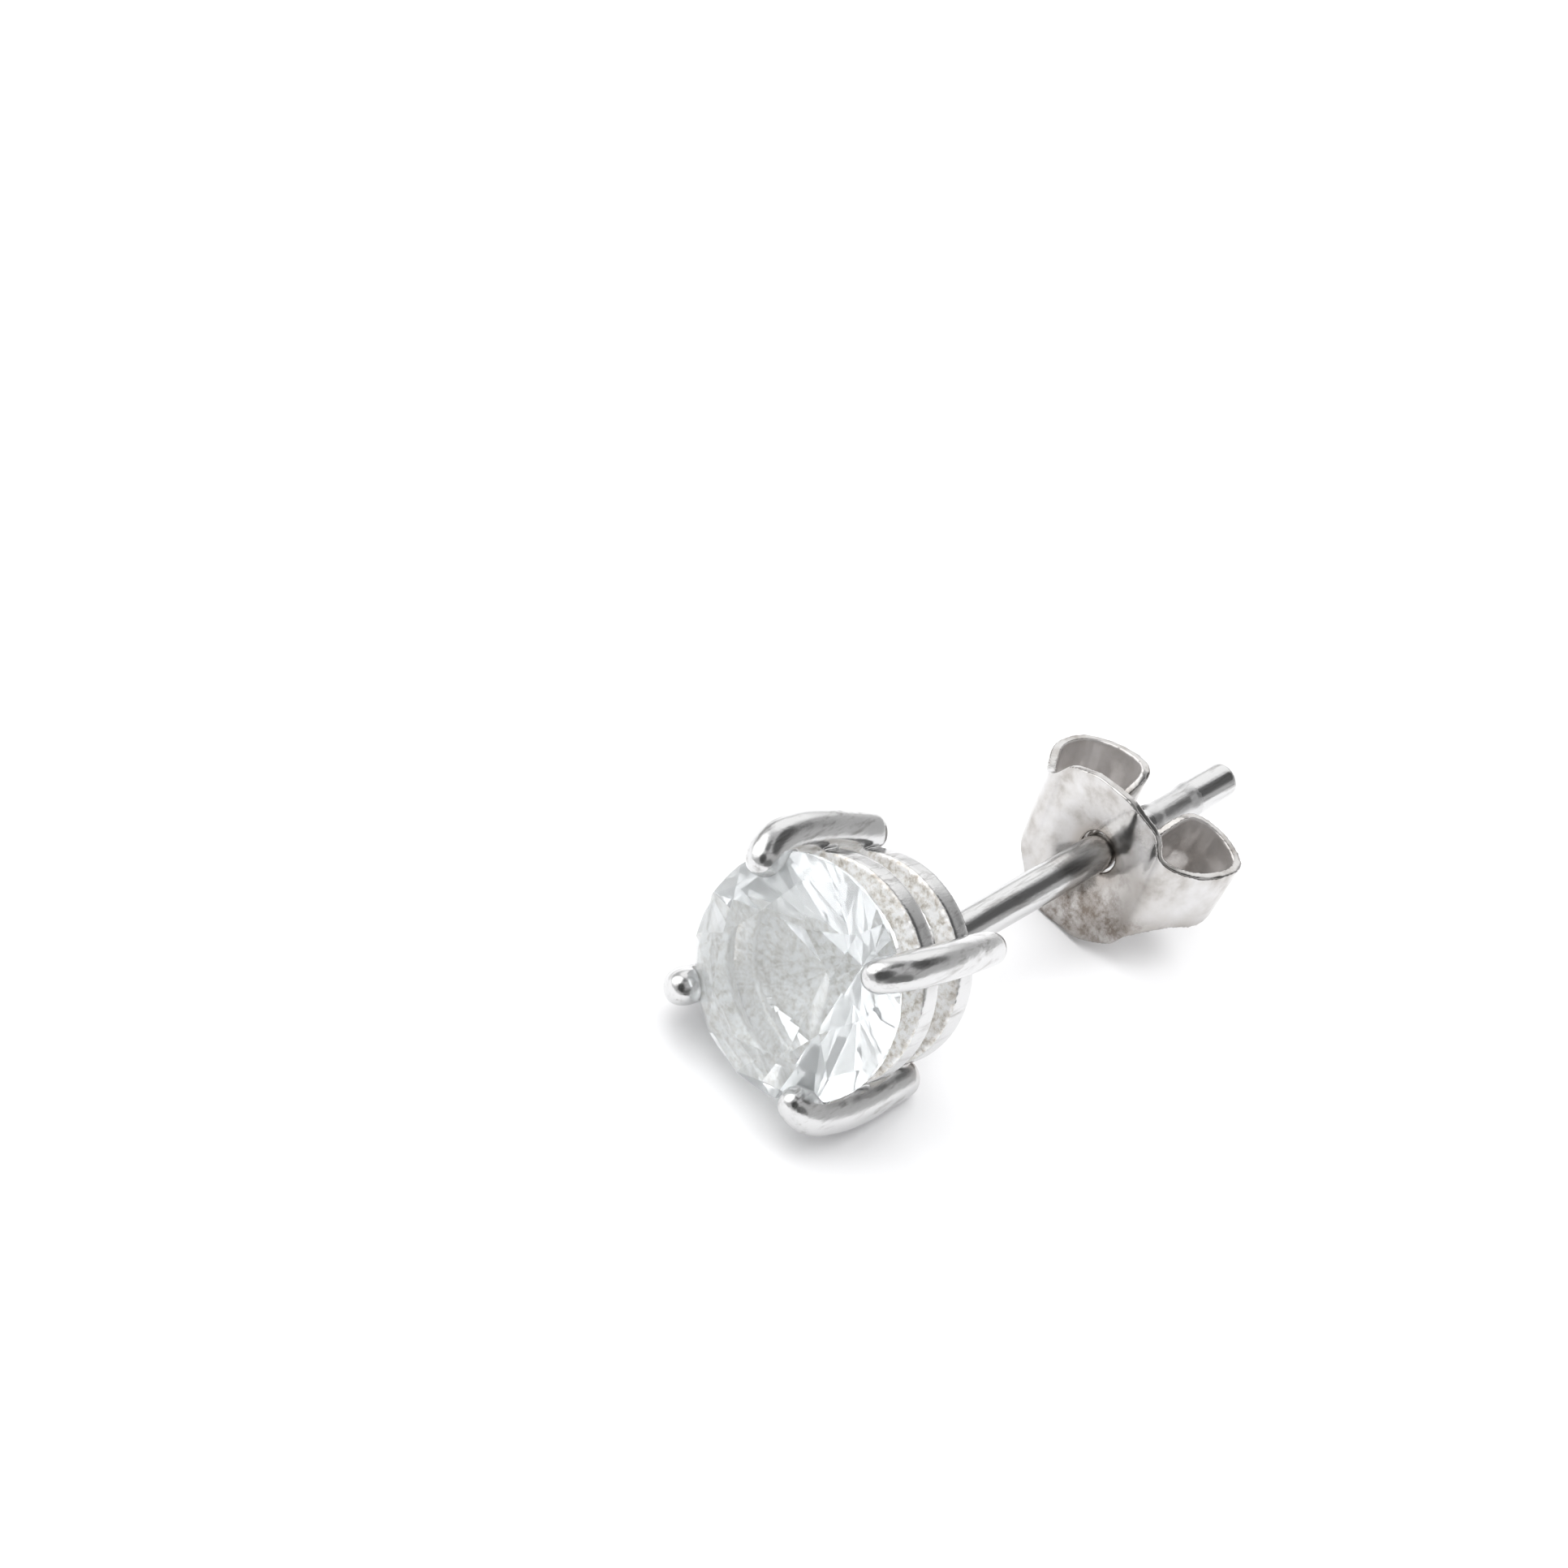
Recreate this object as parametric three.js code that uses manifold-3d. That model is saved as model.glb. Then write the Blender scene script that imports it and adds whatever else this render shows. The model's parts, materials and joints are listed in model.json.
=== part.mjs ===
import * as THREE from 'three';
import Module from 'manifold-3d';
import { mergeVertices } from 'three/addons/utils/BufferGeometryUtils.js';
import { ConvexHull } from 'three/addons/math/ConvexHull.js';

// A silver stud earring: a round brilliant in a four-claw double gallery, a soldered post
// and a stamped butterfly back, lying on a surface as it comes to rest by itself.
// All lengths are millimetres and all angles degrees.

// Round brilliant stone
const stoneDiameter = 5.0;
const tableDiameter = 2.9;
const crownHeight = 0.78;
const girdleHeight = 0.14;
const pavilionDepth = 2.1;
const starReach = 0.62;         // share of the way from the table's edge to the girdle
const lowerFacetReach = 0.24;   // share of the stone's radius where the lower facets meet
const stoneSides = 16;
const seatClearance = 0.06;     // between the stone and the metal that holds it

// Claws
const clawCount = 4;
const clawThickness = 0.86;     // outward from the head's axis
const clawWidth = 0.76;
const clawStandOut = 0.25;      // from the girdle to the claw's centre line
const clawRise = 0.72;          // tip's centre line in front of the girdle
const clawOverrun = 0.45;       // claw's end behind the base ring
const clawTurn = 36;            // claws about the head's axis
const clawSides = 12;
const clawSteps = 16;

// Gallery rings and the bridge that carries the post
const upperRingSetback = 0.95;  // girdle to the ring's front face
const upperRingHeight = 0.55;
const ringGap = 0.86;
const baseRingHeight = 0.55;
const ringWidth = 0.52;
const upperRingBite = 0.07;     // how deep a ring runs into the claws
const baseRingBite = 0.04;
const ringChamfer = 0.08;
const ringSides = 48;
const bridgeThickness = 0.35;
const bridgeWidth = 1.2;

// Ear post
const postDiameter = 0.8;
const postLength = 11.3;
const postOffset = 0.66;        // post's root below the base ring's centre
const headPitch = 17;           // the head's face tips up from square to the post
const solderSpread = 0.24;
const solderLength = 0.34;
const grooveDepth = 0.07;
const grooveStart = 8.75;
const grooveLength = 1.2;
const postSides = 20;

// Butterfly back
const backPlace = 6.85;         // post's root to the plate's front plane
const backLean = 6.5;           // the plate's top leans away from the head
const backSwivel = 4;           // about the post
const sheetThickness = 0.2;
const plateHeight = 3.72;
const scrollOffset = 1.52;      // post's axis to each scroll's centre
const scrollRadius = 1.29;
const scrollUneven = 0.055;     // how much larger one scroll is rolled, and smaller the other
const dishDepth = 0.38;
const dishRadius = 0.85;
const plateCup = 0.17;          // the plate's top and bottom edges stand forward
const scrollCone = 0.1;         // the scrolls open upward
const gripClearance = 0.1;      // between the post and the scrolls
const holeClearance = 0.06;     // between the post and the plate's hole
const backSteps = 36;
const backRows = 8;

// Silver and stone weights, for the balance when lying
const silverDensity = 10.4;
const stoneDensity = 3.53;
const restTurn = 20;            // it is laid down within about this of level

// Stations along a claw. depth is a share of clawRise in front of the girdle and of the
// claw's depth behind it, reach of the claw's widest centre line, thickness of clawThickness.
const clawStations = [
  { depth: -1.0, reach: 0.75, thickness: 0.86 },
  { depth: -0.8, reach: 0.86, thickness: 0.94 },
  { depth: -0.22, reach: 0.965, thickness: 1.0 },
  { depth: 0.18, reach: 1.0, thickness: 1.02 },
  { depth: 0.44, reach: 0.985, thickness: 1.0 },
  { depth: 0.65, reach: 0.95, thickness: 0.96 },
  { depth: 0.85, reach: 0.91, thickness: 0.93 },
  { depth: 1.0, reach: 0.87, thickness: 0.9 },
];

// Stations along one wing of the sheet, past its flat stretch. turn is the angle about the
// scroll's centre, radius a share of scrollRadius, width a share of plateHeight.
const plateStations = [
  { out: 0.0, width: 1.0 },
  { out: 0.3, width: 0.99 },
  { out: 0.6, width: 0.89 },
  { out: 0.82, width: 0.78 },
];
const scrollStations = [
  { turn: -90, radius: 1.0, width: 0.555 },
  { turn: -50, radius: 0.58, width: 0.4 },
  { turn: 0, radius: 0.56, width: 0.41 },
  { turn: 50, radius: 0.745, width: 0.38 },
  { turn: 95, radius: 0.745, width: 0.46 },
  { turn: 135, radius: 0.82, width: 0.5 },
];
const gripTurn = 180;
const gripWidth = 0.3;
const curlStations = [
  { turn: 205, radius: 0.68, width: 0.24 },
  { turn: 226, radius: 0.55, width: 0.17 },
];

const stoneRadius = stoneDiameter / 2;
const tableRadius = tableDiameter / 2;
const postRadius = postDiameter / 2;
const postRootDepth = bridgeThickness / 2;
const upperRingBack = upperRingSetback + upperRingHeight;
const baseRingFront = upperRingBack + ringGap;
const baseRingBack = baseRingFront + baseRingHeight;
const clawDepth = baseRingBack + clawOverrun;
const clawReach = stoneRadius + clawStandOut;

const { degToRad: radians, radToDeg, lerp, clamp, smoothstep } = THREE.MathUtils;
const wasm = await Module();
wasm.setup();

// Turns a closed geometry into a solid: position only, shared vertices merged, no
// collapsed triangles, faces outward.
function solidOf(geometry) {
  const bare = geometry.clone();
  bare.deleteAttribute('normal');
  bare.deleteAttribute('uv');
  const merged = mergeVertices(bare, 1e-5);
  const vertProperties = new Float32Array(merged.attributes.position.array);
  const index = merged.index.array;
  const kept = [];
  for (let i = 0; i < index.length; i += 3) {
    const [a, b, c] = [index[i], index[i + 1], index[i + 2]];
    if (a !== b && b !== c && c !== a) kept.push(a, b, c);
  }
  const outward = signedVolume(vertProperties, kept) > 0 ? kept : kept.reverse();
  const triVerts = new Uint32Array(outward);
  return new wasm.Manifold(new wasm.Mesh({ numProp: 3, vertProperties, triVerts }));
}

function signedVolume(positions, index) {
  const [a, b, c] = [new THREE.Vector3(), new THREE.Vector3(), new THREE.Vector3()];
  let six = 0;
  for (let i = 0; i < index.length; i += 3) {
    a.fromArray(positions, index[i] * 3);
    b.fromArray(positions, index[i + 1] * 3);
    c.fromArray(positions, index[i + 2] * 3);
    six += a.dot(b.cross(c));
  }
  return six / 6;
}

function geometryOf(solid) {
  const mesh = solid.getMesh();
  const geometry = new THREE.BufferGeometry();
  const stride = mesh.numProp;
  const positions = new Float32Array((mesh.vertProperties.length / stride) * 3);
  for (let i = 0; i < positions.length / 3; i += 1) {
    for (let axis = 0; axis < 3; axis += 1) {
      positions[i * 3 + axis] = mesh.vertProperties[i * stride + axis];
    }
  }
  geometry.setAttribute('position', new THREE.BufferAttribute(positions, 3));
  geometry.setIndex(Array.from(mesh.triVerts));
  geometry.computeVertexNormals();
  return geometry;
}

function smoothCurve(points) {
  return new THREE.CatmullRomCurve3(points, false, 'centripetal');
}

function joined(solids) {
  return solids.reduce((whole, solid) => whole.add(solid));
}

// The head's own frame has its axis along Y, the girdle at y = 0 and the table at -Y.
// A ring of points about that axis.
function ringPoints(count, radius, y, firstTurn = 0) {
  const points = [];
  for (let i = 0; i < count; i += 1) {
    const turn = radians(firstTurn) + (i / count) * Math.PI * 2;
    points.push(new THREE.Vector3(radius * Math.cos(turn), y, radius * Math.sin(turn)));
  }
  return points;
}

// Round brilliant: table, 8 stars, 8 kites, 16 upper and 16 lower girdle facets and 8
// pavilion mains. The kites and mains are flat because star and lower points lie on them.
function stoneGeometry() {
  const half = stoneSides / 2;
  const step = 360 / half;
  const halfCos = Math.cos(radians(step / 2));
  const starRadius = lerp(tableRadius, stoneRadius, starReach);
  const crownSlope = crownHeight / (stoneRadius - tableRadius);
  const starY = -girdleHeight / 2 - crownSlope * (stoneRadius - starRadius * halfCos);
  const lowerRadius = stoneRadius * lowerFacetReach;
  const lowerY = girdleHeight / 2 + pavilionDepth * (1 - (lowerRadius * halfCos) / stoneRadius);

  const table = ringPoints(half, tableRadius, -girdleHeight / 2 - crownHeight);
  const stars = ringPoints(half, starRadius, starY, step / 2);
  const upper = ringPoints(stoneSides, stoneRadius, -girdleHeight / 2);
  const lower = ringPoints(stoneSides, stoneRadius, girdleHeight / 2);
  const mains = ringPoints(half, lowerRadius, lowerY, step / 2);
  const tableCentre = new THREE.Vector3(0, -girdleHeight / 2 - crownHeight, 0);
  const culet = new THREE.Vector3(0, girdleHeight / 2 + pavilionDepth, 0);

  const faces = [];
  for (let i = 0; i < half; i += 1) {
    const next = (i + 1) % half;
    const here = i * 2;
    const middle = here + 1;
    const after = (here + 2) % stoneSides;
    faces.push(tableCentre, table[i], table[next]);
    faces.push(table[i], stars[i], table[next]);
    faces.push(table[next], stars[i], upper[after], table[next], upper[after], stars[next]);
    faces.push(stars[i], upper[here], upper[middle], stars[i], upper[middle], upper[after]);
    for (const [a, b] of [[here, middle], [middle, after]]) {
      faces.push(upper[a], lower[a], lower[b], upper[a], lower[b], upper[b]);
    }
    faces.push(mains[i], lower[middle], lower[here], mains[i], lower[after], lower[middle]);
    faces.push(mains[i], culet, lower[after], culet, mains[next], lower[after]);
  }
  const geometry = new THREE.BufferGeometry().setFromPoints(faces);
  return geometryOf(solidOf(geometry));
}

// What the metal is cut back to, so that the stone lies in it with seatClearance all round.
function seatSolid() {
  const front = -girdleHeight / 2 - crownHeight - seatClearance;
  const back = girdleHeight / 2 + pavilionDepth + seatClearance;
  const wide = stoneRadius + seatClearance;
  const profile = [
    new THREE.Vector2(0, front),
    new THREE.Vector2(tableRadius + seatClearance, front),
    new THREE.Vector2(wide, -girdleHeight / 2),
    new THREE.Vector2(wide, girdleHeight / 2),
    new THREE.Vector2(0, back),
  ];
  return solidOf(new THREE.LatheGeometry(profile, ringSides));
}

function clawCurve() {
  const points = clawStations.map(({ depth, reach }) => {
    const y = depth < 0 ? depth * clawRise : depth * clawDepth;
    return new THREE.Vector3(reach * clawReach, y, 0);
  });
  return smoothCurve(points);
}

// Centre-line radius of the claws at a depth behind the girdle.
function clawReachAt(depth) {
  const points = clawCurve().getPoints(clawSteps * 8);
  return points.reduce((best, p) => (Math.abs(p.y - depth) < Math.abs(best.y - depth) ? p : best)).x;
}

// A value read from a table of stations at a share of the way along it.
function stationValue(stations, name, share) {
  const place = share * (stations.length - 1);
  const row = Math.min(Math.floor(place), stations.length - 2);
  return lerp(stations[row][name], stations[row + 1][name], place - row);
}

// A turned pin with round ends, bent to follow the claw's centre line.
function clawSolid() {
  const curve = clawCurve();
  const length = curve.getLength();
  const profile = [];
  for (let i = 0; i <= clawSteps; i += 1) {
    const share = 0.5 - 0.5 * Math.cos((i / clawSteps) * Math.PI);
    const along = share * length;
    const full = (clawThickness / 2) * stationValue(clawStations, 'thickness', share);
    const nearEnd = Math.min(along, length - along);
    const round = nearEnd < full ? Math.sqrt(full ** 2 - (full - nearEnd) ** 2) : full;
    profile.push(new THREE.Vector2(i === 0 || i === clawSteps ? 0 : round, along));
  }
  const geometry = new THREE.LatheGeometry(profile, clawSides);
  const position = geometry.attributes.position;
  for (let i = 0; i < position.count; i += 1) {
    const share = clamp(position.getY(i) / length, 0, 1);
    const centre = curve.getPointAt(share);
    const tangent = curve.getTangentAt(share);
    const sideways = position.getX(i);
    const x = centre.x + tangent.y * sideways;
    const y = centre.y - tangent.x * sideways;
    position.setXYZ(i, x, y, (position.getZ(i) * clawWidth) / clawThickness);
  }
  return solidOf(geometry);
}

function ringSolid(front, height, bite) {
  const back = front + height;
  const outer = clawReachAt(front + height / 2) - clawThickness / 2 + bite;
  const inner = outer - ringWidth;
  const profile = [
    new THREE.Vector2(inner, front),
    new THREE.Vector2(outer - ringChamfer, front),
    new THREE.Vector2(outer, front + ringChamfer),
    new THREE.Vector2(outer, back - ringChamfer),
    new THREE.Vector2(outer - ringChamfer, back),
    new THREE.Vector2(inner, back),
    new THREE.Vector2(inner, front),
  ];
  return { solid: solidOf(new THREE.LatheGeometry(profile, ringSides)), outer, inner };
}

// The bar across the base ring's back that carries the post, offset as the post is.
function bridgeSolid(baseRing) {
  const middle = (baseRing.outer + baseRing.inner) / 2;
  const lowEdge = postOffset + bridgeWidth / 2;
  const length = 2 * Math.sqrt(Math.max(middle ** 2 - lowEdge ** 2, baseRing.inner ** 2 / 4));
  const bar = new THREE.BoxGeometry(length, bridgeThickness, bridgeWidth);
  bar.translate(0, baseRingBack - bridgeThickness / 2, -postOffset);
  return solidOf(bar);
}

// The head's frame is set so that the post's root, on the bridge's back face, is the origin.
function headMatrix() {
  const toRoot = new THREE.Matrix4().makeTranslation(0, -baseRingBack, postOffset);
  const pitch = new THREE.Matrix4().makeRotationX(radians(-headPitch));
  return pitch.multiply(toRoot);
}

function headTransformed(solid) {
  return solid.transform(headMatrix().elements);
}

function postSolid() {
  const end = postRadius * 0.5;
  const grooveEnd = grooveStart + grooveLength;
  const grooveRadius = postRadius - grooveDepth;
  const profile = [
    new THREE.Vector2(0, -postRootDepth),
    new THREE.Vector2(postRadius, -postRootDepth),
    new THREE.Vector2(postRadius + solderSpread, -postRootDepth / 4),
    new THREE.Vector2(postRadius + solderSpread * 0.35, solderLength * 0.35),
    new THREE.Vector2(postRadius, solderLength),
    new THREE.Vector2(postRadius, grooveStart),
    new THREE.Vector2(grooveRadius, grooveStart + grooveDepth * 2),
    new THREE.Vector2(grooveRadius, grooveEnd - grooveDepth * 2),
    new THREE.Vector2(postRadius, grooveEnd),
    new THREE.Vector2(postRadius, postLength - end),
    new THREE.Vector2(postRadius * 0.87, postLength - end * 0.5),
    new THREE.Vector2(postRadius * 0.5, postLength - end * 0.13),
    new THREE.Vector2(0, postLength),
  ];
  return solidOf(new THREE.LatheGeometry(profile, postSides));
}

function settingGeometry() {
  const claw = clawSolid();
  const claws = [];
  for (let i = 0; i < clawCount; i += 1) {
    const turn = radians(-clawTurn) + (i / clawCount) * Math.PI * 2;
    claws.push(claw.transform(new THREE.Matrix4().makeRotationY(turn).elements));
  }
  const upperRing = ringSolid(upperRingSetback, upperRingHeight, upperRingBite);
  const baseRing = ringSolid(baseRingFront, baseRingHeight, baseRingBite);
  const head = joined([upperRing.solid, baseRing.solid, ...claws]).subtract(seatSolid());
  return geometryOf(joined([headTransformed(head.add(bridgeSolid(baseRing))), postSolid()]));
}

// One wing's centre line seen from above, from the post's axis outward, with the width of
// the sheet at each of its points.
function wingStations(side) {
  const rows = plateStations.map(({ out, width }) => ({ x: out * scrollOffset, y: 0, width }));
  const rolled = scrollRadius * (1 - side * scrollUneven);
  const gripRadius = scrollOffset - postRadius - gripClearance - sheetThickness / 2;
  const grip = { turn: gripTurn, radius: gripRadius / rolled, width: gripWidth };
  for (const { turn, radius, width } of [...scrollStations, grip, ...curlStations]) {
    const reach = radius * rolled;
    const x = scrollOffset + reach * Math.cos(radians(turn));
    const y = rolled + reach * Math.sin(radians(turn));
    rows.push({ x, y, width });
  }
  return rows;
}

// Middle surface of the sheet: share runs along one wing, across from -1 to 1 over its
// width, side is 1 or -1. The plate is cupped, and dished round its hole.
function sheetPoint(wing, side, share, across) {
  const place = wing.line.getPointAt(share);
  const tangent = wing.line.getTangentAt(share);
  const half = (wing.widthAt(share) * plateHeight) / 2;
  const z = across * half;
  const plate = 1 - smoothstep(place.x / scrollOffset, 0.4, 1.0);
  const onPlate = share < wing.plateShare ? plate : 0;
  const fromHole = (place.x ** 2 + z ** 2) / dishRadius ** 2;
  const dish = onPlate * dishDepth * Math.exp(-fromHole);
  const cup = onPlate * plateCup * ((2 * z) / plateHeight) ** 2;
  const flare = scrollCone * across * smoothstep(share, wing.plateShare * 0.8, 0.5);
  const fade = 1 - smoothstep(share, 0.68, 0.86);
  const x = place.x + tangent.y * flare * fade;
  const y = place.y - tangent.x * flare * fade + dish - cup;
  return new THREE.Vector3(side * x, y, z);
}

function makeWing(side) {
  const rows = wingStations(side);
  const line = smoothCurve(rows.map(({ x, y }) => new THREE.Vector3(x, y, 0)));
  const lengths = [0];
  for (let i = 1; i < rows.length; i += 1) {
    lengths.push(lengths[i - 1] + Math.hypot(rows[i].x - rows[i - 1].x, rows[i].y - rows[i - 1].y));
  }
  const total = lengths[rows.length - 1];
  const widths = smoothCurve(rows.map(({ width }, i) => new THREE.Vector3(lengths[i] / total, width, 0)));
  const samples = widths.getPoints(backSteps * 8);
  const widthAt = (share) => (samples.find((p) => p.x >= share) ?? samples[samples.length - 1]).y;
  return { line, widthAt, plateShare: lengths[plateStations.length] / total };
}

function backGeometry() {
  const wings = { [-1]: makeWing(-1), [1]: makeWing(1) };
  const columns = [];
  for (let i = -backSteps; i <= backSteps; i += 1) {
    const side = i < 0 ? -1 : 1;
    const share = Math.abs(i) / backSteps;
    const column = [];
    for (let j = 0; j <= backRows; j += 1) {
      column.push(sheetPoint(wings[side], side, share, (j / backRows) * 2 - 1));
    }
    columns.push(column);
  }
  const faces = [];
  const last = columns.length - 1;
  const offset = (i, j, amount) => {
    const before = columns[Math.max(i - 1, 0)][j];
    const after = columns[Math.min(i + 1, last)][j];
    const below = columns[i][Math.max(j - 1, 0)];
    const above = columns[i][Math.min(j + 1, backRows)];
    const normal = after.clone().sub(before).cross(above.clone().sub(below)).normalize();
    return columns[i][j].clone().addScaledVector(normal, amount);
  };
  const front = columns.map((column, i) => column.map((p, j) => offset(i, j, sheetThickness / 2)));
  const back = columns.map((column, i) => column.map((p, j) => offset(i, j, -sheetThickness / 2)));
  const quad = (a, b, c, d) => faces.push(a, b, c, a, c, d);
  for (let i = 0; i < last; i += 1) {
    for (let j = 0; j < backRows; j += 1) {
      quad(front[i][j], front[i + 1][j], front[i + 1][j + 1], front[i][j + 1]);
      quad(back[i][j], back[i][j + 1], back[i + 1][j + 1], back[i + 1][j]);
    }
    quad(front[i][0], back[i][0], back[i + 1][0], front[i + 1][0]);
    quad(front[i][backRows], front[i + 1][backRows], back[i + 1][backRows], back[i][backRows]);
  }
  for (let j = 0; j < backRows; j += 1) {
    quad(front[0][j], front[0][j + 1], back[0][j + 1], back[0][j]);
    quad(front[last][j], back[last][j], back[last][j + 1], front[last][j + 1]);
  }
  const flat = solidOf(new THREE.BufferGeometry().setFromPoints(faces));
  const aboutHole = flat.translate([0, -dishDepth, 0]).rotate([-backLean, backSwivel, 0]);
  const sheet = aboutHole.translate([0, dishDepth, 0]);
  const holeLength = dishDepth + sheetThickness * 3;
  const holeRadius = postRadius + holeClearance;
  const drill = new THREE.CylinderGeometry(holeRadius, holeRadius, holeLength, postSides);
  drill.translate(0, dishDepth - holeLength / 2 + sheetThickness, 0);
  const whole = sheet.subtract(solidOf(drill));
  return geometryOf(whole.translate([0, backPlace, 0]));
}

// Centre of mass of a closed geometry, and its mass by density.
function massOf(geometry, density) {
  const positions = geometry.attributes.position.array;
  const index = geometry.index.array;
  const centre = new THREE.Vector3();
  let volume = 0;
  for (let i = 0; i < index.length; i += 3) {
    const corner = (k) => new THREE.Vector3().fromArray(positions, index[i + k] * 3);
    const [a, b, c] = [corner(0), corner(1), corner(2)];
    const part = a.dot(b.clone().cross(c)) / 6;
    centre.addScaledVector(a.add(b).add(c), part / 4);
    volume += part;
  }
  return { mass: volume * density, moment: centre.multiplyScalar(density) };
}

// The turn that lays the object on the face of its convex hull on which it comes to rest,
// out of those near level the one with the centre of mass furthest inside its edges.
function restingTurn(pieces) {
  const total = { mass: 0, moment: new THREE.Vector3() };
  const points = [];
  for (const { geometry, density } of pieces) {
    const { mass, moment } = massOf(geometry, density);
    total.mass += mass;
    total.moment.add(moment);
    const position = geometry.attributes.position;
    for (let i = 0; i < position.count; i += 1) {
      points.push(new THREE.Vector3().fromBufferAttribute(position, i));
    }
  }
  const centre = total.moment.divideScalar(total.mass);
  const down = new THREE.Vector3(0, 0, -1);
  const hull = new ConvexHull().setFromPoints(points);
  let best = null;
  for (const face of hull.faces) {
    const corners = [0, 1, 2].map((k) => face.getEdge(k).head().point);
    const plane = new THREE.Plane().setFromCoplanarPoints(...corners);
    const foot = plane.projectPoint(centre, new THREE.Vector3());
    if (!new THREE.Triangle(...corners).containsPoint(foot)) continue;
    const edges = [0, 1, 2].map((k) => new THREE.Line3(corners[k], corners[(k + 1) % 3]));
    const nearest = new THREE.Vector3();
    const inside = Math.min(...edges.map((e) => e.closestPointToPoint(foot, true, nearest).distanceTo(foot)));
    const overTurned = Math.max(0, radToDeg(face.normal.angleTo(down)) - restTurn);
    const steady = inside - overTurned;
    if (!best || steady > best.steady) best = { steady, normal: face.normal };
  }
  return new THREE.Quaternion().setFromUnitVectors(best.normal, down);
}

const silver = new THREE.MeshStandardMaterial({ color: 0xd8d8dc, metalness: 1, roughness: 0.22 });
const sheetSilver = new THREE.MeshStandardMaterial({ color: 0xc9c6c4, metalness: 1, roughness: 0.3 });
const clearStone = new THREE.MeshStandardMaterial({ color: 0xe6f2f4, metalness: 0, roughness: 0.04 });

const stoneMatrix = headMatrix().multiply(new THREE.Matrix4().makeRotationY(radians(-clawTurn)));
const stone = new THREE.Mesh(stoneGeometry().applyMatrix4(stoneMatrix), clearStone);
stone.name = 'stone';
const setting = new THREE.Mesh(settingGeometry(), silver);
setting.name = 'setting';
const back = new THREE.Mesh(backGeometry(), sheetSilver);
back.name = 'butterfly_back';

const earring = new THREE.Group();
earring.add(stone, setting, back);
earring.quaternion.copy(
  restingTurn([
    { geometry: stone.geometry, density: stoneDensity },
    { geometry: setting.geometry, density: silverDensity },
    { geometry: back.geometry, density: silverDensity },
  ]),
);
earring.updateMatrixWorld(true);
const box = new THREE.Box3().setFromObject(earring, true);
const middle = box.getCenter(new THREE.Vector3());
earring.position.set(-middle.x, -middle.y, -box.min.z);
earring.updateMatrixWorld(true);

export default earring;
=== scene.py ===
import json
import math

import bmesh
import bpy
import numpy as np
from mathutils import Matrix, Vector, noise


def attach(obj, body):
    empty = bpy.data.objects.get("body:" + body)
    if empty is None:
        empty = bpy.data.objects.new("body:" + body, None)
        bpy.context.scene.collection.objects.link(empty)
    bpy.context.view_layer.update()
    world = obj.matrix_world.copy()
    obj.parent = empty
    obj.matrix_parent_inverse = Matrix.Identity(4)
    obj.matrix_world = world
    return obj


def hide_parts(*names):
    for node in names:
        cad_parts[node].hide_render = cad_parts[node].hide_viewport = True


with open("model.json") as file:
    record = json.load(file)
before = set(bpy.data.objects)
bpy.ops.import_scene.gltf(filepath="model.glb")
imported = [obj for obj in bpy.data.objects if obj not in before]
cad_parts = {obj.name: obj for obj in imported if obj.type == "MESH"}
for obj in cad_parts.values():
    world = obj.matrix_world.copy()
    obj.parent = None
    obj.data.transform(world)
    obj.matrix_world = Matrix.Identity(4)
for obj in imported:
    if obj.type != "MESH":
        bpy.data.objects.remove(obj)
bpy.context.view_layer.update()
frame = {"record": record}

mm = 0.001
perMetre = 1 / mm           # a pattern's count per millimetre becomes a noise scale
tableClear = 2e-6           # metres, so that nothing sinks into the table
record = frame["record"]


# Places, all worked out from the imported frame: the head leans on its post, and the whole
# earring lies on its claws and its back, so nothing is square to the world.
lobeRest = record["mounts"][0]
slideJoint = record["behaviour"]["joints"][0]
headForm = {
    "mountOut": 1.2,        # mm from the post's root to the stated point on the bridge
    "baseDepth": 2.91,      # girdle to the base ring's back
    "postOffset": 0.66,     # post's root below the head's axis
    "clawTurn": 36,         # degrees about the head's axis
    "claws": 4,
}
headAxis = Vector(lobeRest["axis"]).normalized()
postAxis = Vector(slideJoint["axis"]).normalized()
acrossAxis = headAxis.cross(postAxis).normalized()
headUp = acrossAxis.cross(headAxis)
postUp = acrossAxis.cross(postAxis)
postRoot = Vector(lobeRest["pos_m"]) - acrossAxis * headForm["mountOut"] * mm
headCentre = postRoot - headAxis * headForm["baseDepth"] * mm + headUp * headForm["postOffset"] * mm


def placeMatrix(x, y, z, centre):
    turn = Matrix((x, y, z)).transposed().to_4x4()
    return Matrix.Translation(centre) @ turn @ Matrix.Scale(mm, 4)


headPlace = placeMatrix(acrossAxis, headAxis, headUp, headCentre)   # mm in the head to metres
postPlace = placeMatrix(acrossAxis, postAxis, postUp, postRoot)
headToPost = postPlace.inverted() @ headPlace


def newObject(name, verts, faces):
    mesh = bpy.data.meshes.new(name)
    mesh.from_pydata([tuple(v) for v in verts], [], faces)
    mesh.update()
    obj = bpy.data.objects.new(name, mesh)
    bpy.context.collection.objects.link(obj)
    return obj


def applyModifiers(obj):
    graph = bpy.context.evaluated_depsgraph_get()
    mesh = bpy.data.meshes.new_from_object(obj.evaluated_get(graph))
    obj.modifiers.clear()
    obj.data = mesh
    return obj


def outward(obj):
    bm = bmesh.new()
    bm.from_mesh(obj.data)
    bmesh.ops.remove_doubles(bm, verts=bm.verts, dist=1e-6)
    bmesh.ops.recalc_face_normals(bm, faces=bm.faces)
    bm.to_mesh(obj.data)
    bm.free()
    return obj


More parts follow.
